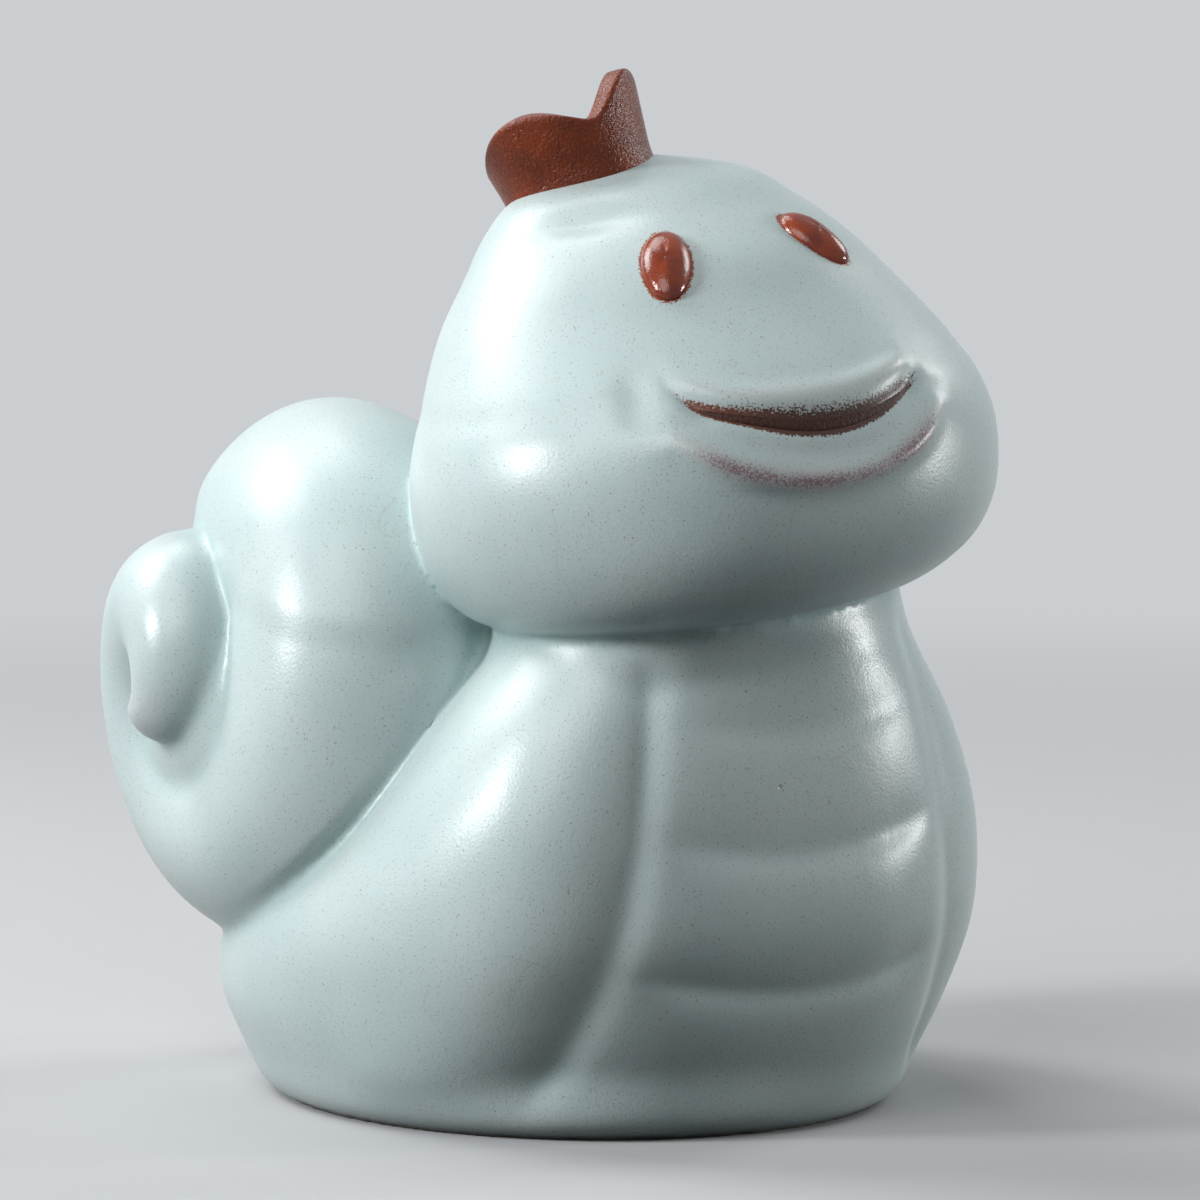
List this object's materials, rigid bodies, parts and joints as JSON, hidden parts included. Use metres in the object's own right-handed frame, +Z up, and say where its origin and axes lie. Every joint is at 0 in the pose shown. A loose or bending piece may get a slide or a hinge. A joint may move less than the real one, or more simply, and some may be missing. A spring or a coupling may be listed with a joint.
{
  "type": "snake figurine",
  "caption": "Glazed ceramic snake figurine: plump upright body, round smiling head, tail rolled into a coil behind it and a small clay crown. Hollow, standing on a flat foot.",
  "frame": {"origin": "on the ground under the middle of the whole figure's box", "axes": "+Z up, the body's belly faces -Y, the snake's right side and its coiled tail are on -X"},
  "size_m": [0.059, 0.0722, 0.0767],
  "materials": {
    "glaze": "satin gloss pale blue-green crackle glaze",
    "brown_slip": "granular brown slip with a sheen",
    "brown_bead": "glossy brown bead"
  },
  "bodies": {
    "root": {"body_shell": "glaze", "head_shell": "glaze", "tail_coil": "glaze", "crown": "brown_slip", "eye_left": "brown_bead", "eye_right": "brown_bead", "mouth_line": "brown_slip"}
  },
  "joints": []
}
